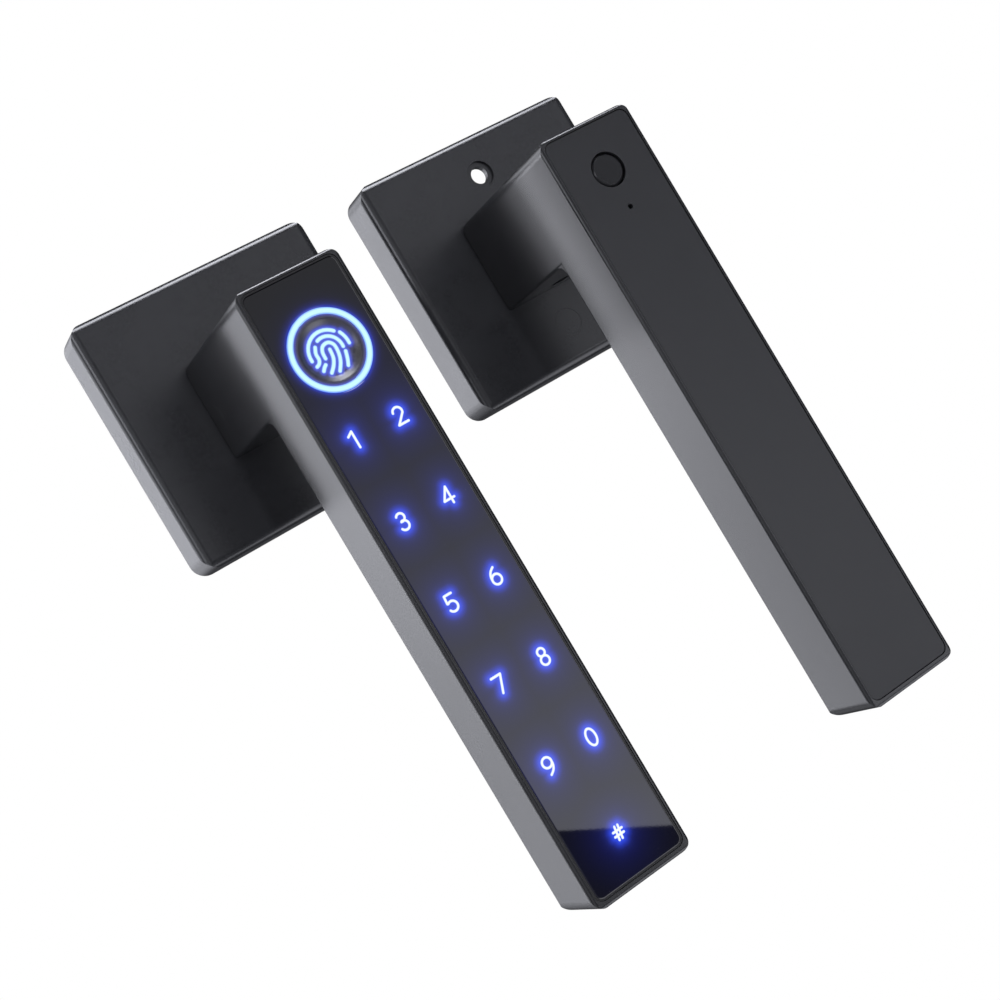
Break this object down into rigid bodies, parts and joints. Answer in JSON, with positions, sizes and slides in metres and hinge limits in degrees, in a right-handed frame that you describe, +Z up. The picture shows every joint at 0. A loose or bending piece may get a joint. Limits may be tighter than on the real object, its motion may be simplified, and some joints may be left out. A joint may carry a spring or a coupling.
{
  "type": "keypad smart lock",
  "caption": "Door lock handle set: an outer half with fingerprint sensor and lit touch keypad in its bar lever, and a matching inner half with push button and battery bay.",
  "frame": {"origin": "centre of the outer rose's back face, on the axis of its spindle", "axes": "-Y points out of the door towards the user, +X runs from the spindle along both levers, +Z is up; the inner half is laid out above the outer half"},
  "size_m": [0.1695, 0.0835, 0.147],
  "materials": {
    "satin_black": "satin black powder coat on a zinc casting",
    "black_glass": "polished black touch panel",
    "bezel_black": "matt black plastic trim",
    "cover_charcoal": "fine matt charcoal coat",
    "sensor_black": "dark glossy sensor lens",
    "light_guide": "lit translucent light guide",
    "plated_steel": "zinc plated",
    "dark_steel": "black oxide",
    "spring_steel": "drawn spring wire",
    "cast_zinc": "bare die casting",
    "bronze": "sintered bearing bronze",
    "rubber_black": "soft matt rubber",
    "board_green": "solder-masked circuit board",
    "chip_black": "moulded chip bodies",
    "moulding_black": "black moulded plastic",
    "moulding_natural": "natural acetal",
    "motor_can": "nickel plated can",
    "cell_wrap": "plain coloured cell sleeve",
    "contact_nickel": "nickel plated contacts"
  },
  "bodies": {
    "outer_rose": {"outer_rose_cover": "satin_black", "outer_gasket": "rubber_black", "outer_mounting_plate": "cast_zinc", "outer_bearing_bush": "bronze", "outer_bolt_posts": "plated_steel", "outer_cover_screws": "plated_steel"},
    "outer_lever": {"outer_lever_housing": "satin_black", "outer_thrust_washer": "plated_steel", "outer_circlip": "dark_steel", "outer_cam_disc": "plated_steel", "outer_return_spring": "spring_steel", "outer_spindle": "plated_steel", "spindle_pin": "dark_steel", "clutch_hub": "plated_steel", "clutch_guide": "moulding_natural", "clutch_motor": "motor_can", "outer_wire_grommet": "rubber_black", "panel_bezel": "bezel_black", "keypad_panel": "black_glass", "fingerprint_ring": "light_guide", "fingerprint_sensor": "sensor_black", "light_mask": "moulding_black", "key_light_guides": "light_guide", "keypad_board": "board_green", "board_chips": "chip_black", "board_screws": "plated_steel"},
    "clutch_bolt": {"clutch_pin": "plated_steel"},
    "inner_rose": {"inner_rose_cover": "satin_black", "inner_gasket": "rubber_black", "inner_mounting_plate": "cast_zinc", "inner_bearing_bush": "bronze", "inner_cover_screws": "plated_steel", "bolt_hole_cap": "moulding_black"},
    "inner_lever": {"inner_lever_housing": "satin_black", "inner_thrust_washer": "plated_steel", "inner_circlip": "dark_steel", "inner_cam_disc": "plated_steel", "inner_return_spring": "spring_steel", "inner_spindle": "plated_steel", "inner_grub_screw": "dark_steel", "inner_wire_grommet": "rubber_black", "switch_board": "board_green", "push_switch": "chip_black", "reset_switch": "chip_black", "switch_board_screws": "plated_steel", "button_guide": "moulding_black", "button_spring": "spring_steel", "battery_tray": "moulding_black", "batteries": "cell_wrap", "battery_contacts": "contact_nickel", "housing_magnets": "motor_can"},
    "inner_button": {"push_button": "cover_charcoal"},
    "battery_lid": {"battery_cover": "cover_charcoal", "cover_magnets": "motor_can"}
  },
  "joints": [
    {"name": "outer_lever_turn", "type": "hinge", "parent": "outer_rose", "child": "outer_lever", "pos_m": [0, -0.006, 0], "axis": [0, 1, 0], "range_deg": [0, 45], "stiffness_Nm_per_rad": 0.6, "springref_deg": -34.38},
    {"name": "clutch_pin_slide", "type": "slide", "parent": "outer_lever", "child": "clutch_bolt", "axis": [0, -1, 0], "range_m": [0, 0.0035], "stiffness_N_per_m": 60, "springref_m": -0.003},
    {"name": "halves_fold", "type": "hinge", "parent": "outer_rose", "child": "inner_rose", "pos_m": [0, 0.02, 0.041], "axis": [-1, 0, 0], "range_deg": [0, 180]},
    {"name": "inner_lever_turn", "type": "hinge", "parent": "inner_rose", "child": "inner_lever", "pos_m": [0, -0.006, 0.082], "axis": [0, -1, 0], "range_deg": [0, 45], "stiffness_Nm_per_rad": 0.6, "springref_deg": -34.38},
    {"name": "push_button_press", "type": "slide", "parent": "inner_lever", "child": "inner_button", "axis": [0, 1, 0], "range_m": [0, 0.0015], "stiffness_N_per_m": 300, "springref_m": -0.001},
    {"name": "battery_cover_lift", "type": "slide", "parent": "inner_lever", "child": "battery_lid", "axis": [0, -1, 0], "range_m": [0, 0.03]}
  ]
}
